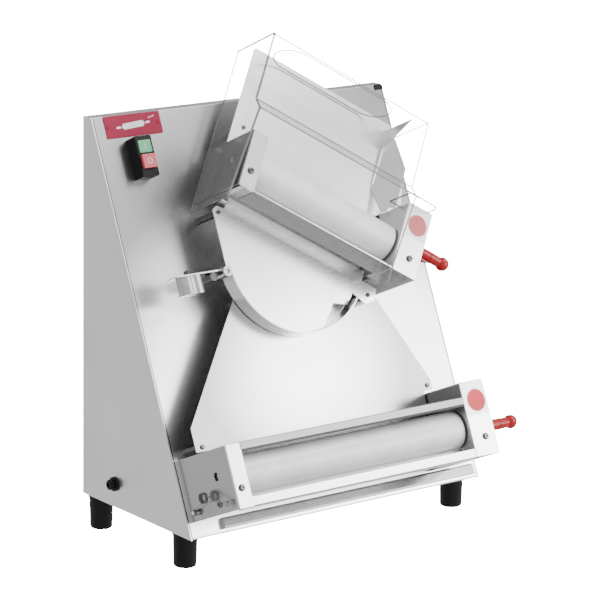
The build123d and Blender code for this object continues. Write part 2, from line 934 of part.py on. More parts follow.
def gear_motor(head):
    """Geared motor behind the panel: gearbox with bracket, and finned motor."""
    x1 = sprocket_span(head)[0] - 4
    x0 = x1 - gearbox_length
    half = gearbox_size / 2
    box = block(
        (x0, roller_axis_y - half, motor_axis_z - half),
        (x1, roller_axis_y + half, motor_axis_z + half),
    )
    box = fillet(box.edges().filter_by(Axis.X), 6.0)
    box -= rod_x(x1 - 12, x1 + 1, roller_axis_y, motor_axis_z, shaft_radius + running_clearance)
    box_top = motor_axis_z + half
    leg = 24.0
    leg_end = leg + bracket_sheet
    bracket = block(
        (x0, roller_axis_y - leg_end, box_top - bracket_sheet),
        (x1, roller_axis_y + leg_end, box_top + bracket_sheet),
    )
    for side in (-1, 1):
        y_near = roller_axis_y + side * leg
        y_far = y_near + side * bracket_sheet
        y_flange = y_near + side * 20
        flange_z = -housing_sheet - bracket_sheet
        bracket += block(
            (x0, min(y_near, y_far), box_top),
            (x1, max(y_near, y_far), -housing_sheet),
        )
        bracket += block(
            (x0, min(y_near, y_flange), flange_z),
            (x1, max(y_near, y_flange), -housing_sheet),
        )
    motor = rod_x(x0 - motor_length, x0, roller_axis_y, motor_axis_z, motor_radius - 3)
    fins = 11
    for i in range(fins):
        x = x0 - motor_length + 12 + i * (motor_length - 24) / (fins - 1)
        motor += rod_x(x - 1.5, x + 1.5, roller_axis_y, motor_axis_z, motor_radius)
    return [box + bracket, motor]


def lever_angle(head):
    """Lever angle at rest, from straight out of the panel towards the top of the head."""
    return lever_closed_angle + lever_swing * head.setting


def grip_centre(head):
    """Where the grip's axis crosses the head's end, as y and z."""
    a = radians(lever_angle(head))
    return eccentric_axis_y() + lever_radius * sin(a), head.eccentric_z + lever_radius * cos(a)


def thickness_lever(head):
    """Red lever: a hub on the eccentric shaft, a gusset and the sleeve that holds the grip."""
    x0 = head.length + lever_wall_gap
    grip_y, grip_z = grip_centre(head)
    y = eccentric_axis_y()
    z = head.eccentric_z
    hub = rod_x(x0, x0 + lever_thickness, y, z, lever_hub_radius)
    sleeve = rod_x(x0, x0 + sleeve_length, grip_y, grip_z, sleeve_radius)
    sleeve = fillet(sleeve.edges(), 0.6)
    under_grip = lever_radius - sleeve_radius - joint_gap
    gusset = polygon(
        [
            (0, -lever_hub_radius),
            (gusset_reach, under_grip),
            (sleeve_length, under_grip),
            (sleeve_length, lever_radius),
            (0, lever_radius),
        ]
    )
    gusset = extrude(gusset, amount=lever_thickness / 2, both=True)
    a = radians(lever_angle(head))
    frame = Plane(origin=(x0, y, z), x_dir=(1, 0, 0), z_dir=(0, -cos(a), sin(a)))
    lever = hub + frame.location * gusset + sleeve
    lever -= rod_x(x0 - 1, x0 + lever_thickness + 0.5, y, z, journal_radius)
    pin_hole = grip_pin_radius + running_clearance
    return lever - rod_x(x0 - 1, x0 + sleeve_length + 1, grip_y, grip_z, pin_hole)


def lever_grip(head):
    """Red grip with a ball end, on the locking pin that it pulls out."""
    grip_y, grip_z = grip_centre(head)
    start = head.length + lever_wall_gap + sleeve_length + joint_gap
    length = head.length + ball_overhang - start
    pin = rod_x(head.length + lever_wall_gap + 0.3, start, grip_y, grip_z, grip_pin_radius)
    profile = FilletPolyline(
        (0, 0),
        (sleeve_radius, 0),
        (sleeve_radius, 1.5),
        (grip_radius, length),
        radius=[0.6, 1.0],
    )
    caps = [Line((grip_radius, length), (0, length)), Line((0, length), (0, 0))]
    stem = revolve(Plane.XZ * make_face([*profile.edges(), *caps]), Axis.Z, 360)
    stem = Pos(start, grip_y, grip_z) * (Rot(0, 90, 0) * stem)
    ball = Pos(head.length + ball_overhang, grip_y, grip_z) * Sphere(ball_radius)
    return pin + stem + ball


def casing_screws(head):
    """The screws that hold the left casing and the gear case."""
    seat = head_depth
    length = 9.0
    return [
        screw_z(casing_screw_x, casing_screw_y, seat, casing_screw_radius, length),
        screw_z(head.case_x + gearcase_screw_x, casing_screw_y, seat, casing_screw_radius, length),
    ]


def scrapers(head):
    """Two bars with blades that keep dough off the rollers."""
    bars = []
    x0 = -8.5 if head.springs else left_plate_x
    x1 = plate_x(head)[1] + plate_thickness
    span = roller_span(head)
    for z, lean in ((scraper_back_z, 1), (scraper_front_z, -1)):
        bar = rod_x(x0, x1, scraper_y, z, scraper_radius - running_clearance)
        blade = polygon(
            [
                (scraper_y - 1.0, z - 1.5),
                (scraper_y + 5.5, z + lean * 3.0 - 0.6),
                (scraper_y + 5.5, z + lean * 3.0 + 0.6),
                (scraper_y - 1.0, z + 1.5),
            ]
        )
        bars.append(bar + extrude_x(blade, span[0] + 1, span[1] - 1))
    return bars


def scraper_spring(head):
    """V-shaped wire spring on the left casing that pulls the two scrapers together."""
    middle_z = (scraper_back_z + scraper_front_z) / 2
    coil_y = scraper_y + 14.0
    wire = scraper_wire
    outer = scraper_coil_radius + wire
    inner = scraper_coil_radius - wire
    x1 = -1.0
    x0 = x1 - scraper_coil_turns * 2 * wire
    spring = rod_x(x0, x1, coil_y, middle_z, outer) - rod_x(x0 - 1, x1 + 1, coil_y, middle_z, inner)
    eye_inner = scraper_radius + 0.3
    eye_outer = eye_inner + 2 * wire
    eye_half = wire + 0.4
    ends = (
        (scraper_back_z, -1, x1 - eye_half),
        (scraper_front_z, 1, x0 + eye_half),
    )
    for z, side, end_x in ends:
        start = Vector(end_x, coil_y - scraper_coil_radius, middle_z)
        end = Vector(end_x, scraper_y + scraper_radius + wire, z - side * 0.5)
        run = end - start
        leg = Pos(0, 0, run.length / 2) * Cylinder(wire, run.length)
        leg = Plane(origin=start, z_dir=run).location * leg
        eye = rod_x(end_x - eye_half, end_x + eye_half, scraper_y, z, eye_outer)
        hole = rod_x(end_x - 2 * eye_half, end_x + 2 * eye_half, scraper_y, z, eye_inner)
        spring = spring + leg + eye - hole
    return spring


# ------------------------------------------------------------------ infeed and guard
def infeed_plate():
    """Plate that the dough is laid on above the upper rollers."""
    bottom = roller_axis_y + roller_radius - 0.5
    right_edge = infeed_width
    points = [
        (3.0, bottom),
        (upper.case_x - 4, bottom),
        (upper.case_x - 4, gearcase_height + 3),
        (upper.length - 13, gearcase_height + 3),
        (upper.length - 13, 150.0),
        (313.0, 195.0),
        (281.0, 248.0),
        (right_edge, infeed_top_y),
        (3.0, infeed_top_y),
    ]
    face = polygon(points)
    face = fillet(face.vertices().group_by(Axis.Y)[-1], 5.0)
    window = infeed_screw_places()
    plate = extrude(face, amount=guide_sheet)
    for x, y in window:
        plate -= rod_z(x, y, -5, 5, guide_hole_radius())
    left_wall = head_height + 1
    notch = block((-1, 0, -1), (left_plate_x + plate_thickness + 2, left_wall, 3))
    return Pos(0, 0, infeed_height) * (plate - notch)


def infeed_screw_places():
    """Screws of the infeed plate in the upper head's frame."""
    return [(22.7, 131.6), (cheek_x + 11.0, 218.0)]


def infeed_posts():
    """Posts that carry the infeed plate off the panel."""
    posts = []
    for x, y in infeed_screw_places():
        post = rod_z(x, y, 0, infeed_height, standoff_radius)
        post -= rod_z(x, y, infeed_height - 12, infeed_height + 1, 0.5 * guide_screw_radius)
        posts.append(upper.place(post))
    return posts


def infeed_cheek():
    """Bent deflector at the right of the infeed plate, with an upright fin."""
    base = infeed_height + guide_sheet
    fin_face = polygon(
        [
            (cheek_bottom_y, base),
            (251.0, base),
            (251.0, 116.0),
            (217.0, base + 6),
            (cheek_bottom_y, base + 3),
        ]
    )
    fin = extrude_x(fin_face, cheek_x, cheek_x + guide_sheet)
    reach = 33.0
    root = (cheek_x + 0.4, base + 0.2)
    far = (root[0] + reach, root[1] + reach)
    band = polygon(
        [
            root,
            far,
            (far[0] + guide_sheet * 0.7, far[1] - guide_sheet * 0.7),
            (root[0] + guide_sheet * 1.4, root[1]),
        ]
    )
    leaf = extrude_y(band, 100.0, 245.0)
    x0 = cheek_x
    trim = extrude(
        polygon(
            [
                (x0 - 2, cheek_bottom_y),
                (x0 + 20, 109.0),
                (x0 + reach + 6, 124.0),
                (x0 + reach + 6, 176.0),
                (x0 + 14, 238.0),
                (x0 - 2, 238.0),
            ]
        ),
        amount=300,
    )
    clear_of_case = block((upper.case_x - 1.5, 0, 0), (400, gearcase_height + 3, 200))
    return fin + (leaf & trim) - clear_of_case


def guard_profile(beyond=0.0):
    """Front and top of the guard in the head's (y, z), its two ends drawn out by a distance."""
    slope = (guard_lower_z - guard_bottom_z) / (guard_step_low_y - guard_bottom_y)
    return [
        (guard_bottom_y - beyond, guard_bottom_z - slope * beyond),
        (guard_step_low_y, guard_lower_z),
        (guard_step_high_y, guard_upper_z),
        (guard_top_y, guard_upper_z),
        (guard_top_y, guard_back_z - beyond),
    ]


def guard_section(line, radii):
    """Face between the guard's bent line and its open back."""
    bent = FilletPolyline(*line, radius=radii)
    back = (line[0][0], line[-1][1])
    return make_face([*bent.edges(), Line(line[-1], back), Line(back, line[0])])


def clear_guard():
    """Clear hood over the infeed and the front of the upper head, open at its right end."""
    wide = guard_bend_radius + guard_sheet
    tight = guard_bend_radius
    outside = guard_section(guard_profile(), [wide, tight, wide])
    hollow = guard_section(shifted_line(guard_profile(20.0), guard_sheet), [tight, wide, tight])
    wall = guard_left_x + guard_sheet
    hood = extrude_x(outside, guard_left_x, guard_band_end_x)
    hood -= extrude_x(hollow, wall, guard_band_end_x + 1)
    far = guard_band_end_x + 1
    hood -= block((guard_right_x, guard_step_low_y, 0), (far, 300, 200))
    hood -= block((guard_lower_end_x, guard_bottom_y + guard_band_height, 0), (far, 200, 200))
    plate_front = infeed_height + guide_sheet + joint_gap
    hood -= block((wall, guard_top_y - 20, 0), (far, 300, plate_front))
    inlet = extrude(SlotOverall(inlet_length, inlet_width), amount=30, both=True)
    hood -= Pos(inlet_centre_x, guard_top_y, inlet_centre_z) * (Rot(90, 0, 0) * inlet)
    ear = block(
        (guard_right_x - 12, gearcase_height + joint_gap, 92),
        (
            upper.length - 6,
            gearcase_height + joint_gap + guard_sheet,
            guard_lower_z - guard_sheet / 2,
        ),
    )
    ear = fillet(ear.edges().filter_by(Axis.Y).group_by(Axis.X)[-1], 10.0)
    hood += ear
    for z in (44.0, 100.0):
        hood += rod_x(wall - 0.5, 0, 78.0, z, guard_pin_radius)
    ear_x, ear_z = guard_ear_screw()
    hood -= rod_y(ear_x, gearcase_height - 5, gearcase_height + 8, ear_z, guide_hole_radius())
    return hood


def guard_ear_screw():
    """Screw of the guard's ear on top of the gear case, as head x and z."""
    return upper.case_x + 28.0, 108.0


def guard_screw():
    """Screw that holds the guard's ear to the gear case."""
    seat = gearcase_height + joint_gap + guard_sheet
    ear_x, ear_z = guard_ear_screw()
    return Pos(ear_x, seat, ear_z) * (Rot(-90, 0, 0) * screw_z(0, 0, 0, guide_screw_radius, 8.0))


# ------------------------------------------------------------------ controls
def switch_housing():
    """Black box of the start and stop switch, with a recess for each button."""
    width, height, depth = switch_size
    box = block((-width / 2, -height / 2, 0), (width / 2, height / 2, depth))
    box = fillet(box.edges().filter_by(Axis.Z), 2.5)
    box = fillet(box.edges().group_by(Axis.Z)[-1], 1.2)
    body = block((-9.5, -19.5, -22), (9.5, 19.5, 0))
    box = box + body
    for size, y in ((start_size, start_y()), (stop_size, stop_y())):
        well = block(
            (-size[0] / 2 - 0.3, y - size[1] / 2 - 0.3, depth - button_depth - button_travel - 1),
            (size[0] / 2 + 0.3, y + size[1] / 2 + 0.3, depth + 1),
        )
        box -= well
    return Pos(switch_x, switch_y, 0) * box


def start_y():
    """Middle of the start button above the switch's middle."""
    return switch_size[1] / 2 - 7.0 - start_size[1] / 2


def stop_y():
    """Middle of the stop button above the switch's middle."""
    return start_y() - start_size[1] / 2 - 3.0 - stop_size[1] / 2


def push_button(size, y, stand_out):
    """Rectangular push button that stands out of the switch."""
    depth = switch_size[2]
    half_width = size[0] / 2
    half_height = size[1] / 2
    cap = block(
        (-half_width, y - half_height, depth - button_depth),
        (half_width, y + half_height, depth + stand_out),
    )
    cap = fillet(cap.edges().filter_by(Axis.Z), 1.5)
    cap = fillet(cap.edges().group_by(Axis.Z)[-1], 0.8)
    return Pos(switch_x, switch_y, 0) * cap


def nameplate():
    """Blank badge on the front panel."""
    plate = extrude(RectangleRounded(*nameplate_size, 1.5), amount=nameplate_sheet)
    for side in (-1, 1):
        x = side * (nameplate_size[0] / 2 - 5)
        rivet = rod_z(x, 0, nameplate_sheet, nameplate_sheet + 0.8, 2.2)
        plate += fillet(rivet.edges().group_by(Axis.Z)[-1], 0.6)
    return Pos(nameplate_x, nameplate_y, 0) * plate


def cable_gland():
    """Domed inlet bush for the mains lead on the left side panel."""
    wall = -housing_width / 2
    flange = rod_x(wall - 4, wall, gland_y, gland_z, gland_radius)
    flange = fillet(flange.edges().group_by(Axis.X)[0], 1.2)
    dome = rod_x(wall - 12, wall - 4, gland_y, gland_z, 0.72 * gland_radius)
    dome = fillet(dome.edges().group_by(Axis.X)[0], 3.0)
    neck = rod_x(wall, wall + 9, gland_y, gland_z, 0.7 * gland_radius - 0.1)
    nut = Rot(0, 90, 0) * extrude(RegularPolygon(gland_radius, 6), amount=4)
    nut = Pos(wall + housing_sheet, gland_y, gland_z) * nut
    lead_hole = rod_x(wall - 13, wall + 10, gland_y, gland_z, 3.6)
    return flange + dome + neck + nut - lead_hole


# ------------------------------------------------------------------ assembly
def solids_of(shapes):
    """All solids of a list of shapes, as one group."""
    found = []
    for shape in shapes:
        found.extend(shape.solids())
    return Compound(children=found)


def panel_screws():
    """All the small identical screws: back cover, guide plates, infeed plate and guard."""
    screws = [on_panel(guide_screw(x, y, slide_height)) for x, y in slide_screw_places()]
    screws += [on_panel(guide_screw(x, y, chute_height)) for x, y in chute_screw_places()]
    infeed_top = infeed_height + guide_sheet
    screws += [upper.place(guide_screw(x, y, infeed_top)) for x, y in infeed_screw_places()]
    screws.append(upper.place(guard_screw()))
    back_screw = Rot(-90, 0, 0) * screw_z(0, 0, 0, guide_screw_radius, 8.0)
    screws += [Pos(x, 0, z) * back_screw for x, z in cover_screw_places()]
    return screws


def build_nodes():
    """Every named piece in the world frame."""
    nodes = {
        "left_side_panel": side_panel(-1),
        "right_side_panel": side_panel(1),
        "front_panel": front_panel(),
        "back_cover": back_cover(),
        "base_plate": base_plate(),
        "discharge_lip": on_panel(discharge_lip()),
        "feet": solids_of([foot(x, y) for x, y in foot_places()]),
        "foot_bolts": solids_of([foot_bolt(x, y) for x, y in foot_places()]),
        "panel_screws": solids_of(panel_screws()),
        "nameplate": on_panel(nameplate()),
        "switch_housing": on_panel(switch_housing()),
        "start_button": on_panel(push_button(start_size, start_y(), 1.5)),
        "stop_button": on_panel(push_button(stop_size, stop_y(), 5.0)),
        "cable_gland": cable_gland(),
        "slide_plate": on_panel(slide_plate()),
        "chute_plate": on_panel(chute_plate()),
        "plate_standoffs": solids_of(plate_standoffs() + infeed_posts()),
        "rocker_band": on_panel(rocker_band()),
        "counterweight_arm": on_panel(counterweight_arm()),
        "counterweight": on_panel(counterweight()),
        "counterweight_screw": on_panel(counterweight_screw()),
        "rocker_pivot_bolt": on_panel(rocker_pivot_bolt()),
        "infeed_plate": upper.place(infeed_plate()),
        "infeed_cheek": upper.place(infeed_cheek()),
        "clear_guard": upper.place(clear_guard()),
        "lower_top_cover": lower.place(top_cover(lower)),
    }
    for name, make in (
        ("casing_screws", casing_screws),
        ("scrapers", scrapers),
        ("back_shaft_bearings", back_bearings),
        ("gear_motors", gear_motor),
    ):
        pieces = [head.place(piece) for head in heads for piece in make(head)]
        nodes[name] = solids_of(pieces)
    nodes["drive_chains"] = solids_of([head.place(drive_chain(head)) for head in heads])
    nodes["scraper_springs"] = solids_of([h.place(scraper_spring(h)) for h in heads if h.springs])
    for head in heads:
        one = head.name + "_"
        nodes[one + "left_casing"] = head.place(left_casing(head))
        nodes[one + "gear_case"] = head.place(gear_case(head))
        nodes[one + "bearing_plates"] = solids_of([head.place(p) for p in bearing_plates(head)])
        nodes[one + "front_cover"] = head.place(front_cover(head))
        nodes[one + "back_roller"] = head.place(back_roller(head))
        nodes[one + "back_shaft"] = head.place(back_shaft(head))
        nodes[one + "drive_gear"] = solids_of([head.place(g) for g in drive_gear(head)])
        nodes[one + "front_roller"] = head.place(front_roller(head))
        nodes[one + "driven_gear"] = head.place(driven_gear(head))
        nodes[one + "front_bushes"] = solids_of([head.place(b) for b in front_bushes(head)])
        nodes[one + "eccentric_shaft"] = head.place(eccentric_shaft(head))
        nodes[one + "thickness_lever"] = head.place(thickness_lever(head))
        nodes[one + "lever_grip"] = head.place(lever_grip(head))
        nodes[one + "motor_sprocket"] = head.place(motor_sprocket(head))
    return nodes


def origin_shift(nodes):
    """Moves the origin to the bottom centre of the machine's bounding box."""
    boxes = [shape.bounding_box() for shape in nodes.values()]
    left = min(box.min.X for box in boxes)
    right = max(box.max.X for box in boxes)
    front = min(box.min.Y for box in boxes)
    back = max(box.max.Y for box in boxes)
    bottom = min(box.min.Z for box in boxes)
    return Location((-(left + right) / 2, -(front + back) / 2, -bottom))


world_nodes = build_nodes()
to_origin = origin_shift(world_nodes)
os.makedirs("parts", exist_ok=True)
for node_name, node_shape in world_nodes.items():
    export_step(to_origin * node_shape, f"parts/{node_name}.step")
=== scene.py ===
import json
from math import atan2, cos, hypot, pi, radians, sin

import bmesh
import bpy
from mathutils import Matrix, Vector


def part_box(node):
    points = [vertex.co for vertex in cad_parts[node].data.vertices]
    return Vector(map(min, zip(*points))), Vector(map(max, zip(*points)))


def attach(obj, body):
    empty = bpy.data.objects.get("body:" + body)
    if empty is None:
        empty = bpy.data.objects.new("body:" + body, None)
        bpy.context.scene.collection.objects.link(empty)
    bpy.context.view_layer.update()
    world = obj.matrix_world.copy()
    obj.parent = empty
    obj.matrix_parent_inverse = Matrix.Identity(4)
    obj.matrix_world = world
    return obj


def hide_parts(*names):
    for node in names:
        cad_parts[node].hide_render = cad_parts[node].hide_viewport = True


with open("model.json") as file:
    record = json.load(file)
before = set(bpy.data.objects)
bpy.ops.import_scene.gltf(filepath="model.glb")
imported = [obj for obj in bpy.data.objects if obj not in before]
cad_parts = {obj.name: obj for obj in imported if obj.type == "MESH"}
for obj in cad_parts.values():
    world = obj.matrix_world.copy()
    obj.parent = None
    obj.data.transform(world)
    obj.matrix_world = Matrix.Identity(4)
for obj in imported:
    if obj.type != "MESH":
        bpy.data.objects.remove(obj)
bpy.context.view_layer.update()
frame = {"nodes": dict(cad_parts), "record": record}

# --- sizes that the looks share with the CAD
base_depth = 0.283
top_depth = 0.0205
housing_height = 0.581
foot_rise = 0.0525
head_depth = 0.125
gearcase_width = 0.047
gearcase_height = 0.1165
scraper_y = 0.013
scraper_back_z = 0.022
scraper_front_z = 0.100
scraper_bar_radius = 0.003
nameplate_centre = (-0.205, 0.6195, 0.001)
guard_left = -0.0125
guard_right = 0.285
guard_outline = (
    (-0.0265, 0.1278),
    (0.118, 0.1462),
    (0.1385, 0.1272),
    (0.2515, 0.1262),
    (0.2525, 0.1250),
    (0.2532, 0.027),
)
guard_bend_places = ((0.118, 0.1460, 0.2910), (0.1387, 0.1272, 0.2845), (0.2518, 0.1258, 0.2845))
inlet_length = 0.212
inlet_width = 0.068
inlet_x = 0.129
inlet_z = 0.0835

# --- sizes of the pieces that are made here
spring_wire = 0.0009
spring_radius = 0.0075
spring_turns = 3.5
hook_turns = 2.25
label_height = 0.053
label_margin = 0.0022
label_thickness = 0.00025
dot_radius = 0.0165
dot_x = 0.025
dot_y = 0.0855
symbol_thickness = 0.0002
edge_line_radius = 0.0006
sharp_angle = radians(40)
shortest_edge = 0.0008
bend_line_radius = 0.0010
corner_block_size = (0.016, 0.009, 0.004)
corner_block_stand_out = 0.0015
side_sheet = 0.002
# painted shadow strips in the joints beside the side panels: width, height, gap at their ends
gap_shadow_width = 0.0011
gap_shadow_height = 0.00025
gap_shadow_end_gap = 0.003
pin_half_length = 0.020
pin_half_height = 0.0045
handle_near = 0.0215
handle_far = 0.0310
handle_half_height = 0.0016
badge_tilt = radians(4)
badge_dots = [(0.030 + 0.004 * i, 0.0085 + 0.001 * i) for i in range(3)]
badge_dot_radius = 0.0012
start_bar_half = (0.0006, 0.004)
stop_ring_inner = 0.0036
stop_ring_outer = 0.0046
dot_ring_width = 0.0012
# painted shade film inside the guard's step: inset, depth and thickness
painted_shade_inset = 0.0005
painted_shade_depth = 0.0016
painted_shade_thickness = 0.0005

# --- painted highlight, where the large sheets are palest: near and far distance, share of the tone beyond
front_painted_highlight = (0, -0.22, 0.15)
front_painted_highlight_reach = (0.30, 0.42, 0.38)
slide_painted_highlight_reach = (0.05, 0.19, 0.36)

# --- studio
background = 30.0
camera_offset = (-2.7104, -3.6567, 1.4458)
camera_yaw = radians(37.90)
camera_pitch = radians(13.92)
camera_roll = radians(1.03)
focal_length = 181.2
sensor_width = 36
floor_half = 9.0
floor_drop = 0.0002


# ------------------------------------------------------------------ frames
def housing_frame():
    """World position of the middle of the housing's back edge on the table."""
    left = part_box("left_side_panel")[0].x
    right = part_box("right_side_panel")[1].x
    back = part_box("back_cover")[1].y
    return Vector(((left + right) / 2, back, 0))


def panel_matrix():
    """Frame of the sloping front: x to the right, y up the panel, z out of it."""
    tilt = atan2(base_depth - top_depth, housing_height)
    x_axis = Vector((1, 0, 0))
    y_axis = Vector((0, sin(tilt), cos(tilt)))
    z_axis = Vector((0, -cos(tilt), sin(tilt)))
    origin = housing_frame() + Vector((0, -base_depth, foot_rise))
    turned = Matrix((x_axis, y_axis, z_axis)).transposed().to_4x4()
    return Matrix.Translation(origin) @ turned


def head_matrix(left, foot, turn):
    """Frame of a roller head on the panel."""
    on_panel = Matrix.Translation((left, foot, 0)) @ Matrix.Rotation(radians(-turn), 4, "Z")
    return panel_matrix() @ on_panel


heads = {
    "upper": (head_matrix(-0.1337, 0.4892, 33.6), 0.3348),
    "lower": (head_matrix(-0.2678, 0.0254, 0.0), 0.4933),
}


# ------------------------------------------------------------------ materials
def new_material(name):
    """Empty node material with its output, its principled shader and its object coordinates."""
    material = bpy.data.materials.new(name)
    material.use_nodes = True
    nodes = material.node_tree.nodes
    shader = nodes["Principled BSDF"]
    place = nodes.new("ShaderNodeTexCoord").outputs["Object"]
    return material, nodes, material.node_tree.links, shader, place


def noise(nodes, links, vector, scale, detail=3.0):
    """Noise texture at a number of cells per metre."""
    texture = nodes.new("ShaderNodeTexNoise")
    texture.inputs["Scale"].default_value = scale
    texture.inputs["Detail"].default_value = detail
    links.new(vector, texture.inputs["Vector"])
    return texture.outputs["Fac"]


def spread(nodes, links, value, low, high, start=0.35, end=0.65):
    """Maps a texture's middle range to the range from low to high."""
    mapped = nodes.new("ShaderNodeMapRange")
    mapped.inputs["From Min"].default_value = start
    mapped.inputs["From Max"].default_value = end
    mapped.inputs["To Min"].default_value = low
    mapped.inputs["To Max"].default_value = high
    links.new(value, mapped.inputs["Value"])
    return mapped.outputs["Result"]


def shade(nodes, links, factor, dark, light):
    """Colour between two colours by a factor."""
    mix = nodes.new("ShaderNodeMix")
    mix.data_type = "RGBA"
    mix.inputs["A"].default_value = (*dark, 1)
    mix.inputs["B"].default_value = (*light, 1)
    links.new(factor, mix.inputs["Factor"])
    return mix.outputs["Result"]


def bump(nodes, links, height, shader, strength, distance):
    """Fine relief from a texture."""
    node = nodes.new("ShaderNodeBump")
    node.inputs["Strength"].default_value = strength
    node.inputs["Distance"].default_value = distance
    links.new(height, node.inputs["Height"])
    links.new(node.outputs["Normal"], shader.inputs["Normal"])


def painted_side_shading(nodes, links, colour, sides):
    """Painted shade: darkens a colour on the faces that look along the given directions, standing in
    for the shade and dark reflections on those sides.
    """
    for direction, share in sides:
        facing = nodes.new("ShaderNodeVectorMath")
        facing.operation = "DOT_PRODUCT"
        links.new(nodes.new("ShaderNodeTexCoord").outputs["Normal"], facing.inputs[0])
        facing.inputs[1].default_value = direction
        factor = spread(nodes, links, facing.outputs["Value"], 1.0, share, 0.55, 0.95)
        scaled = nodes.new("ShaderNodeVectorMath")
        scaled.operation = "SCALE"
        links.new(colour, scaled.inputs[0])
        links.new(factor, scaled.inputs["Scale"])
        colour = scaled.outputs["Vector"]
    return colour


def painted_highlight_falloff(nodes, links, colour, place, centre, near, far, share):
    """Painted highlight: darkens a colour with the distance from a point, so that the sheet is palest
    round it.
    """
    away = nodes.new("ShaderNodeVectorMath")
    away.operation = "DISTANCE"
    links.new(place, away.inputs[0])
    away.inputs[1].default_value = centre
    scaled = nodes.new("ShaderNodeVectorMath")
    scaled.operation = "SCALE"
    links.new(colour, scaled.inputs[0])
    factor = spread(nodes, links, away.outputs["Value"], 1.0, share, near, far)
    links.new(factor, scaled.inputs["Scale"])
    return scaled.outputs["Vector"]


def steel(name, tone, roughness, grain_frame=None, sides=(), fade=None):
    """Brushed stainless sheet: long fine scratches along a frame's x, and faint clouding; optionally
    painted shade on faces that look along given directions, and a painted highlight that fades with
    the distance from a point.
    """
    material, nodes, links, shader, place = new_material(name)
    turned = nodes.new("ShaderNodeMapping")
    turned.vector_type = "POINT"
    if grain_frame is not None:
        turned.inputs["Rotation"].default_value = grain_frame.inverted().to_euler()
    links.new(place, turned.inputs["Vector"])
    stretched = nodes.new("ShaderNodeMapping")
    stretched.inputs["Scale"].default_value = (0.02, 1.0, 1.0)
    links.new(turned.outputs["Vector"], stretched.inputs["Vector"])
    scratches = noise(nodes, links, stretched.outputs["Vector"], 1400, 4)
    clouds = noise(nodes, links, place, 7, 2)
    dark = tuple(c * 0.94 for c in tone)
    colour = shade(nodes, links, spread(nodes, links, clouds, 0, 1), dark, tone)
    # painted highlight, palest round a point and darker away from it
    if fade:
        colour = painted_highlight_falloff(nodes, links, colour, place, *fade)
    # painted shade on the faces that look along the given directions
    links.new(painted_side_shading(nodes, links, colour, sides), shader.inputs["Base Color"])
    links.new(
        spread(nodes, links, scratches, roughness - 0.015, roughness + 0.02),
        shader.inputs["Roughness"],
    )
    bump(nodes, links, scratches, shader, 0.008, 0.00002)
    shader.inputs["Metallic"].default_value = 1.0
    return material


def turned_metal(name, tone, roughness, scale=900):
    """Machined or plated metal with a fine even grain and slight staining."""
    material, nodes, links, shader, place = new_material(name)
    fine = noise(nodes, links, place, scale, 3)
    stain = noise(nodes, links, place, 60, 3)
    dark = tuple(c * 0.8 for c in tone)
    links.new(
        shade(nodes, links, spread(nodes, links, stain, 0, 1), dark, tone),
        shader.inputs["Base Color"],
    )
    links.new(
        spread(nodes, links, fine, roughness - 0.06, roughness + 0.08),
        shader.inputs["Roughness"],
    )
    bump(nodes, links, fine, shader, 0.3, 0.00003)
    shader.inputs["Metallic"].default_value = 1.0
    return material


def plastic(name, tone, roughness, relief=0.15, pebble=700, coat=0.0, gloss=0.5):
    """Moulded plastic or rubber with a faint skin texture."""
    material, nodes, links, shader, place = new_material(name)
    skin = noise(nodes, links, place, pebble, 2)
    patches = noise(nodes, links, place, 25, 2)
    dark = tuple(c * 0.9 for c in tone)
    links.new(
        shade(nodes, links, spread(nodes, links, patches, 0, 1), dark, tone),
        shader.inputs["Base Color"],
    )
    links.new(
        spread(nodes, links, skin, roughness - 0.04, roughness + 0.05),
        shader.inputs["Roughness"],
    )
    bump(nodes, links, skin, shader, relief, 0.00004)
    shader.inputs["Specular IOR Level"].default_value = gloss
    shader.inputs["Coat Weight"].default_value = coat
    shader.inputs["Coat Roughness"].default_value = 0.12
    return material


def clear_sheet(name, opacity, tone):
    """Clear polished sheet: mostly see-through, with faint smears in its gloss."""
    material, nodes, links, shader, place = new_material(name)
    smears = noise(nodes, links, place, 18, 3)
    dark = tuple(c * 0.97 for c in tone)
    links.new(
        shade(nodes, links, spread(nodes, links, smears, 0, 1), dark, tone),
        shader.inputs["Base Color"],
    )
    links.new(spread(nodes, links, smears, 0.04, 0.09), shader.inputs["Roughness"])
    shader.inputs["IOR"].default_value = 1.49
    shader.inputs["Alpha"].default_value = opacity
    return material


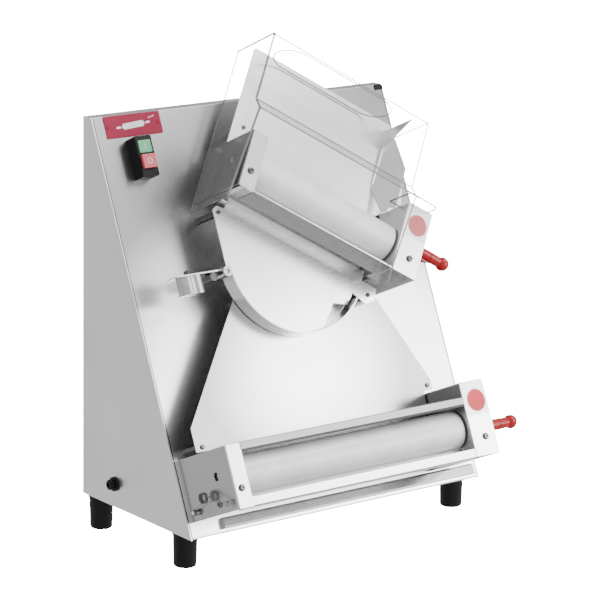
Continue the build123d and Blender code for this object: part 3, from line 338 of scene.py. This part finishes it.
def materials_by_slot():
    """The material that each slot of the record takes."""
    upper_frame = heads["upper"][0]
    lower_frame = heads["lower"][0]
    slide_low, slide_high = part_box("slide_plate")
    # painted highlight round a point low on the front panel and round the middle of the slide plate
    front_fade = (housing_frame() + Vector(front_painted_highlight), *front_painted_highlight_reach)
    slide_fade = ((slide_low + slide_high) / 2, *slide_painted_highlight_reach)
    # painted light and shade: the stainless parts are one steel, given paler and darker tones part by
    # part, standing in for how much light each one reflects
    grey = (0.70, 0.70, 0.705)
    cover = (0.68, 0.68, 0.685)
    bright = (0.82, 0.82, 0.825)
    pale = (0.90, 0.90, 0.905)
    left, under = -Vector((1, 0, 0)), -Vector((0, 1, 0))

    # painted shade: the left-looking and downward-looking faces of the head casings, covers and gear
    # cases are darkened in colour, standing in for shade and dark reflections
    def side_shading_faces(place, left_share, under_share):
        turn = place.to_3x3()
        return ((turn @ left, left_share), (turn @ under, under_share))

    upper_case = side_shading_faces(upper_frame, 0.80, 0.45)
    lower_case = side_shading_faces(lower_frame, 0.50, 0.45)
    upper_cover = side_shading_faces(upper_frame, 0.14, 0.45)
    lower_cover = side_shading_faces(lower_frame, 0.60, 0.45)
    return {
        "brushed_stainless": steel("sheet_steel", (0.80, 0.80, 0.805), 0.27),
        "upper_steel": steel("upper_sheet_steel", bright, 0.26, upper_frame),
        # the case and cover steels carry painted shade on their left and under faces
        "upper_case_steel": steel("upper_case_steel", bright, 0.26, upper_frame, sides=upper_case),
        "lower_case_steel": steel("lower_case_steel", bright, 0.27, sides=lower_case),
        "upper_cover_steel": steel("upper_cover_steel", cover, 0.26, upper_frame, sides=upper_cover),
        "lower_cover_steel": steel("lower_cover_steel", cover, 0.27, sides=lower_cover),
        "panel_steel": steel("panel_steel", grey, 0.30),
        "front_steel": steel("front_steel", pale, 0.30, fade=front_fade),
        "slide_steel": steel("slide_steel", pale, 0.26, fade=slide_fade),
        "guide_steel": steel("guide_steel", (0.92, 0.92, 0.925), 0.26),
        # painted shade: dark copies of the stainless for the discharge lip and the lower head's top
        # cover
        "rail_steel": steel("rail_steel", (0.42, 0.42, 0.425), 0.26),
        "top_cover_steel": steel("top_cover_steel", (0.20, 0.20, 0.205), 0.26),
        "roller_plastic": plastic("roller_plastic", (0.93, 0.93, 0.93), 0.32, 0.06, 400, 0.15),
        "clear_plastic": clear_sheet("clear_plastic", 0.07, (0.93, 0.95, 0.96)),
        "red_plastic": plastic("red_plastic", (0.38, 0.002, 0.005), 0.26, 0.08, 300, 0.15, 0.3),
        "black_rubber": plastic("black_rubber", (0.003, 0.003, 0.003), 0.5, 0.4, 900, gloss=0.2),
        "black_plastic": plastic("black_plastic", (0.004, 0.004, 0.004), 0.4, 0.35, 1200, gloss=0.2),
        "green_plastic": plastic("green_plastic", (0.10, 0.48, 0.22), 0.3, 0.1, 500, 0.4),
        "stop_red": plastic("stop_red", (0.72, 0.10, 0.12), 0.28, 0.1, 500, 0.4),
        "machined_steel": turned_metal("machined_steel", (0.62, 0.62, 0.63), 0.3),
        "zinc_steel": turned_metal("zinc_steel", (0.14, 0.14, 0.145), 0.24),
        "bearing_bronze": turned_metal("bearing_bronze", (0.62, 0.42, 0.2), 0.3),
        "motor_paint": plastic("motor_paint", (0.10, 0.12, 0.15), 0.4, 0.3, 600),
        "badge": plastic("badge_red", (0.32, 0.004, 0.040), 0.45, 0.1, 300, gloss=0.25),
        "spring_steel": turned_metal("spring_steel", (0.20, 0.20, 0.21), 0.25),
        "label_film": steel("label_film", (0.66, 0.66, 0.67), 0.34),
        "label_ring": plastic("label_ring", (0.80, 0.78, 0.78), 0.5, 0.15, 600),
        "label_red": plastic("label_red", (0.78, 0.08, 0.10), 0.5, 0.15, 600, gloss=0.2),
        "label_faded": plastic("label_faded", (0.66, 0.16, 0.18), 0.5, 0.15, 600, gloss=0.2),
        "print_white": plastic("print_white", (0.85, 0.85, 0.85), 0.45, 0.1, 600),
        # painted reflection in the guard's edge and bend lines; painted shade in the film inside its
        # step
        "guard_edge_painted_reflection": clear_sheet("guard_edge_painted_reflection", 0.95, (0.10, 0.105, 0.11)),
        "guard_bend_painted_reflection": clear_sheet("guard_bend_painted_reflection", 0.97, (0.24, 0.245, 0.25)),
        "guard_painted_shade": clear_sheet("guard_painted_shade", 0.22, (0.20, 0.21, 0.22)),
    }


materials = materials_by_slot()
own_looks = {
    "front_panel": "front_steel",
    "back_cover": "panel_steel",
    "left_side_panel": "panel_steel",
    "right_side_panel": "panel_steel",
    "slide_plate": "slide_steel",
    "chute_plate": "guide_steel",
    "discharge_lip": "rail_steel",
    "infeed_plate": "upper_steel",
    "infeed_cheek": "upper_steel",
    "upper_gear_case": "upper_case_steel",
    "lower_gear_case": "lower_case_steel",
    "upper_left_casing": "upper_cover_steel",
    "upper_front_cover": "upper_cover_steel",
    "lower_left_casing": "lower_cover_steel",
    "lower_front_cover": "lower_cover_steel",
    "lower_top_cover": "top_cover_steel",
}


def dress_nodes():
    """Gives every CAD node its material."""
    for part in frame["record"]["subparts"]:
        mesh = frame["nodes"][part["node"]].data
        mesh.materials.clear()
        look = own_looks.get(part["node"], part["material_slot"])
        mesh.materials.append(materials[look])


# ------------------------------------------------------------------ pieces
def add_piece(name, data, slot, body="root"):
    """Links a piece, gives it the material of its slot, and lets it ride on a body."""
    data.materials.append(materials[slot])
    piece = bpy.data.objects.new(name, data)
    bpy.context.scene.collection.objects.link(piece)
    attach(piece, body)
    return piece


def film(name, place, outline, thickness, rounding=0.0):
    """Thin raised film of a flat outline, in a frame, as a mesh with softened edges."""
    mesh = bpy.data.meshes.new(name)
    made = bmesh.new()
    bottom = [made.verts.new((x, y, 0)) for x, y in outline]
    face = made.faces.new(bottom)
    raised = bmesh.ops.extrude_face_region(made, geom=[face])
    top = [v for v in raised["geom"] if isinstance(v, bmesh.types.BMVert)]
    bmesh.ops.translate(made, verts=top, vec=(0, 0, thickness))
    if rounding:
        upright = [e for e in made.edges if abs(e.verts[0].co.z - e.verts[1].co.z) > thickness / 2]
        bmesh.ops.bevel(made, geom=upright, offset=rounding, segments=4, affect="EDGES")
    bmesh.ops.recalc_face_normals(made, faces=made.faces)
    made.transform(place)
    made.to_mesh(mesh)
    made.free()
    return mesh


def ring_points(x, y, radius, count=48):
    """Points round a circle."""
    return [
        (x + radius * cos(2 * pi * i / count), y + radius * sin(2 * pi * i / count))
        for i in range(count)
    ]


def rectangle(x0, y0, x1, y1):
    """Corners of a rectangle."""
    return [(x0, y0), (x1, y0), (x1, y1), (x0, y1)]


def gear_case_label(name, place, length, tone):
    """Pale film over the top of a gear case's front, with a round red mark in a thin ring on it."""
    front = place @ Matrix.Translation((0, 0, head_depth))
    left = length - gearcase_width
    outline = rectangle(
        left + label_margin,
        gearcase_height - label_height,
        length - label_margin,
        gearcase_height - label_margin,
    )
    label = film(name + "_label", front, outline, label_thickness, 0.0015)
    add_piece(name + "_label", label, "label_film")
    layers = (
        (dot_radius + dot_ring_width, "label_ring", "_label_ring"),
        (dot_radius, tone, "_label_dot"),
    )
    for level, (radius, look, ending) in enumerate(layers, start=1):
        layer = front @ Matrix.Translation((0, 0, level * label_thickness))
        mark = film(name + ending, layer, ring_points(left + dot_x, dot_y, radius), label_thickness)
        add_piece(name + ending, mark, look)


def wires(name, radius, resolution, paths, capped=True):
    """Round wires along polylines, as one curve."""
    curve = bpy.data.curves.new(name, "CURVE")
    curve.dimensions = "3D"
    curve.bevel_depth = radius
    curve.bevel_resolution = resolution
    curve.use_fill_caps = capped
    for path in paths:
        spline = curve.splines.new("POLY")
        spline.points.add(len(path) - 1)
        for point, where in zip(spline.points, path):
            point.co = (*where, 1)
    return curve


def spring_path():
    """Centre line of a scraper spring in its head's frame: hook, leg, coil, leg, hook."""
    middle_z = (scraper_back_z + scraper_front_z) / 2
    coil_y = scraper_y + 0.016
    start_x = -0.0025
    pitch = 2.3 * spring_wire
    path = []
    per_turn = 20

    def turns(y, z, radius, first, count, x, step):
        total = int(per_turn * abs(count))
        for i in range(total + 1):
            a = first + 2 * pi * count * i / total
            path.append((x + step * abs(count) * i / total, y + radius * cos(a), z + radius * sin(a)))

    hook = scraper_bar_radius + spring_wire
    turns(scraper_y, scraper_back_z, hook, pi / 2, -hook_turns, start_x, -pitch)
    coil_x = path[-1][0]
    turns(coil_y, middle_z, spring_radius, -2.4, spring_turns, coil_x, -pitch)
    end_x = path[-1][0]
    turns(scraper_y, scraper_front_z, hook, 0, -hook_turns, end_x + hook_turns * pitch, -pitch)
    return path


def scraper_spring(name, place):
    """Bent wire spring that joins the ends of the two scraper bars."""
    path = [place @ Vector(point) for point in spring_path()]
    curve = wires(name, spring_wire, 4, [path])
    piece = add_piece(name, curve, "spring_steel")
    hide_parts("scraper_springs")


def badge_print():
    """Blank badge's plain ornament: a rolling pin and three dots, with no lettering."""
    place = panel_matrix() @ Matrix.Translation(nameplate_centre)
    tilted = place @ Matrix.Rotation(badge_tilt, 4, "Z")
    across, up = pin_half_length, pin_half_height
    outline = rectangle(-across, -up, across, up)
    barrel = film("badge_pin", tilted, outline, symbol_thickness, 0.002)
    add_piece("badge_pin", barrel, "print_white")
    handles = (("left", -handle_far, -handle_near), ("right", handle_near, handle_far))
    for side, start, end in handles:
        outline = rectangle(start, -handle_half_height, end, handle_half_height)
        handle = film("badge_handle", tilted, outline, symbol_thickness, 0.0012)
        add_piece("badge_handle_" + side, handle, "print_white")
    for i, (x, y) in enumerate(badge_dots):
        dot = film("badge_dot", place, ring_points(x, y, badge_dot_radius, 20), symbol_thickness)
        add_piece(f"badge_dot_{i}", dot, "print_white")


def button_symbols():
    """A bar on the start button and a ring on the stop button."""
    for node, body in (("start_button", "start_button"), ("stop_button", "stop_button")):
        outward = panel_matrix().to_3x3().col[2]
        points = [v.co for v in frame["nodes"][node].data.vertices]
        face_height = max(p.dot(outward) for p in points)
        low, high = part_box(node)
        centre = (low + high) / 2
        centre += outward * (face_height - centre.dot(outward))
        place = Matrix.Translation(centre) @ panel_matrix().to_3x3().to_4x4()
        if node == "start_button":
            across, up = start_bar_half
            mark = film("start_mark", place, rectangle(-across, -up, across, up), symbol_thickness)
        else:
            mark = ring_mark(place, stop_ring_inner, stop_ring_outer)
        add_piece(node + "_mark", mark, "print_white", body)


def ring_mark(place, inner, outer, count=40):
    """Flat raised ring."""
    mesh = bpy.data.meshes.new("ring_mark")
    made = bmesh.new()
    loops = [
        [made.verts.new((x, y, z)) for x, y in ring_points(0, 0, radius, count)]
        for radius, z in (
            (inner, 0.0),
            (inner, symbol_thickness),
            (outer, symbol_thickness),
            (outer, 0.0),
        )
    ]
    for a, b in zip(loops, loops[1:] + loops[:1]):
        for i in range(count):
            j = (i + 1) % count
            made.faces.new((a[i], a[j], b[j], b[i]))
    bmesh.ops.recalc_face_normals(made, faces=made.faces)
    made.transform(place)
    made.to_mesh(mesh)
    made.free()
    return mesh


def guard_edges():
    """Painted reflection: thin dark lines along the clear guard's sharp edges, standing in for the
    light caught in the polished edges of the sheet.
    """
    source = bmesh.new()
    source.from_mesh(frame["nodes"]["clear_guard"].data)
    bmesh.ops.remove_doubles(source, verts=source.verts, dist=0.00001)
    source.normal_update()
    inward = edge_line_radius + 0.0001
    lines = []
    for edge in source.edges:
        if len(edge.link_faces) != 2 or edge.calc_face_angle(0) < sharp_angle:
            continue
        if edge.calc_length() < shortest_edge:
            continue
        pull = -(edge.link_faces[0].normal + edge.link_faces[1].normal) * inward
        lines.append([vertex.co + pull for vertex in edge.verts])
    source.free()
    curve = wires("guard_edges", edge_line_radius, 2, lines, capped=False)
    add_piece("guard_edges", curve, "guard_edge_painted_reflection")


def guard_bends():
    """Painted reflection: pale lines where the clear guard bends, round its inlet and along its open
    ends, standing in for the light caught in the clear sheet.
    """
    place = heads["upper"][0]
    lines = []
    for y, z, right in guard_bend_places:
        lines.append([(guard_left, y, z), (right, y, z)])
    for x in (guard_left, guard_right):
        lines.append([(x, y, z) for y, z in guard_outline])
    inlet_y = guard_outline[-1][0]
    half = (inlet_length - inlet_width) / 2
    inlet = []
    for side in (1, -1):
        for i in range(17):
            a = side * pi / 2 - side * pi * i / 16
            across = side * (half + inlet_width / 2 * cos(a))
            inlet.append((inlet_x + across, inlet_y, inlet_z + inlet_width / 2 * sin(a)))
    inlet.append(inlet[0])
    lines.append(inlet)
    placed = [[place @ Vector(where) for where in line] for line in lines]
    curve = wires("guard_bends", bend_line_radius, 3, placed)
    add_piece("guard_bends", curve, "guard_bend_painted_reflection")


def guard_painted_shade():
    """Painted shade: faint grey film inside the guard's sloping step, standing in for the step
    catching less light than its front.
    """
    (low_y, low_z), (high_y, high_z) = guard_outline[1:3]
    run = Vector((0, high_y - low_y, high_z - low_z))
    across = Vector((1, 0, 0))
    out = across.cross(run).normalized()
    axes = Matrix((across, run.normalized(), out)).transposed().to_4x4()
    place = heads["upper"][0] @ Matrix.Translation((0, low_y, low_z)) @ axes
    outline = rectangle(guard_left, painted_shade_inset, guard_right, run.length - painted_shade_inset)
    inside = place @ Matrix.Translation((0, 0, -painted_shade_depth))
    painted_shade = film("guard_painted_shade", inside, outline, painted_shade_thickness)
    add_piece("guard_painted_shade", painted_shade, "guard_painted_shade")


def corner_black_block():
    """Small black block with softened upright edges on the sloping front, at the housing's top right
    corner.
    """
    right = (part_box("right_side_panel")[1].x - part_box("left_side_panel")[0].x) / 2
    top = hypot(housing_height, base_depth - top_depth)
    width, height, depth = corner_block_size
    place = panel_matrix() @ Matrix.Translation((0, 0, corner_block_stand_out - depth))
    outline = rectangle(right - width, top - height, right - 0.0003, top)
    cap = film("corner_black_block", place, outline, depth, 0.001)
    add_piece("corner_black_block", cap, "black_plastic")


def panel_gap_shadows():
    """Painted shadow: thin black strips on the sloping front where the side panels meet it; the
    joints are real, their darkness is painted shadow in the gap.
    """
    half = (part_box("right_side_panel")[1].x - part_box("left_side_panel")[0].x) / 2
    top = hypot(housing_height, base_depth - top_depth)
    for side, name in ((-1, "left"), (1, "right")):
        near = side * (half - side_sheet)
        far = side * (half - side_sheet - gap_shadow_width)
        outline = rectangle(min(near, far), gap_shadow_end_gap, max(near, far), top - gap_shadow_end_gap)
        gap_shadow = film("panel_gap_shadow", panel_matrix(), outline, gap_shadow_height)
        add_piece(name + "_panel_gap_shadow", gap_shadow, "black_rubber")


# ------------------------------------------------------------------ studio
def camera():
    """Camera at the photograph's viewing angle."""
    yaw, pitch, roll = camera_yaw, camera_pitch, camera_roll
    forward = Vector((sin(yaw) * cos(pitch), cos(yaw) * cos(pitch), -sin(pitch)))
    level = Vector((cos(yaw), -sin(yaw), 0))
    upright = level.cross(forward)
    right = level * cos(roll) + upright * sin(roll)
    up = upright * cos(roll) - level * sin(roll)
    data = bpy.data.cameras.new("camera")
    data.sensor_width = sensor_width
    data.lens = focal_length
    data.clip_end = 100
    view = bpy.data.objects.new("camera", data)
    bpy.context.scene.collection.objects.link(view)
    axes = Matrix((right, up, -forward)).transposed().to_4x4()
    place = housing_frame() + Vector(camera_offset)
    view.matrix_world = Matrix.Translation(place) @ axes
    bpy.context.scene.camera = view


def backdrop_light():
    """White surroundings, softly darker behind and below to the left."""
    world = bpy.data.worlds.new("studio")
    bpy.context.scene.world = world
    world.use_nodes = True
    nodes = world.node_tree.nodes
    links = world.node_tree.links
    direction = nodes.new("ShaderNodeTexCoord").outputs["Generated"]
    towards = nodes.new("ShaderNodeVectorMath")
    towards.operation = "DOT_PRODUCT"
    links.new(direction, towards.inputs[0])
    towards.inputs[1].default_value = Vector((0.60, -0.70, 0.40)).normalized()
    ramp = nodes.new("ShaderNodeValToRGB")
    ramp.color_ramp.interpolation = "B_SPLINE"
    stops = ((0.0, 1.7), (0.08, 1.2), (0.17, 0.45), (0.35, 0.9), (0.6, 2.4), (0.85, 4.0), (1.0, 5.0))
    elements = ramp.color_ramp.elements
    while len(elements) < len(stops):
        elements.new(0.5)
    for element, (position, level) in zip(elements, stops):
        element.position = position
        element.color = (level, level, level, 1)
    half = nodes.new("ShaderNodeMapRange")
    half.inputs["From Min"].default_value = -1
    links.new(towards.outputs["Value"], half.inputs["Value"])
    links.new(half.outputs["Result"], ramp.inputs["Fac"])
    seen = nodes.new("ShaderNodeLightPath").outputs["Is Camera Ray"]
    shown = nodes.new("ShaderNodeMix")
    shown.data_type = "RGBA"
    shown.inputs["B"].default_value = (background, background, background, 1)
    links.new(seen, shown.inputs["Factor"])
    links.new(ramp.outputs["Color"], shown.inputs["A"])
    links.new(shown.outputs["Result"], nodes["Background"].inputs["Color"])


def soft_light(name, place, target, size, power):
    """Square soft box that points at the machine."""
    data = bpy.data.lights.new(name, "AREA")
    data.size = size
    data.energy = power
    lamp = bpy.data.objects.new(name, data)
    bpy.context.scene.collection.objects.link(lamp)
    aim = (Vector(target) - Vector(place)).to_track_quat("-Z", "Y")
    lamp.matrix_world = Matrix.Translation(place) @ aim.to_matrix().to_4x4()
    lamp.visible_camera = False


def floor():
    """Pale floor that shows little more than the soft shadow of the feet."""
    mesh = bpy.data.meshes.new("floor")
    outline = rectangle(-floor_half, -floor_half, floor_half, floor_half)
    corners = [(x, y, -floor_drop) for x, y in outline]
    mesh.from_pydata(corners, [], [(0, 1, 2, 3)])
    material, nodes, links, shader, place = new_material("pale_floor")
    links.new(
        shade(nodes, links, noise(nodes, links, place, 3), (0.90, 0.90, 0.90), (0.94, 0.94, 0.94)),
        shader.inputs["Base Color"],
    )
    shader.inputs["Roughness"].default_value = 0.8
    shader.inputs["Alpha"].default_value = 0.12
    mesh.materials.append(material)
    piece = bpy.data.objects.new("floor", mesh)
    bpy.context.scene.collection.objects.link(piece)


camera()
backdrop_light()
floor()
soft_light("key", (1.3, -1.6, 0.70), (0, 0, 0.30), 1.1, 34)
soft_light("top", (1.2, -1.0, 2.4), (0, 0, 0.3), 1.2, 40)
dress_nodes()
gear_case_label("upper", *heads["upper"], "label_faded")
gear_case_label("lower", *heads["lower"], "label_red")
scraper_spring("scraper_spring", heads["lower"][0])
badge_print()
button_symbols()
guard_edges()
guard_bends()
guard_painted_shade()
corner_black_block()
panel_gap_shadows()
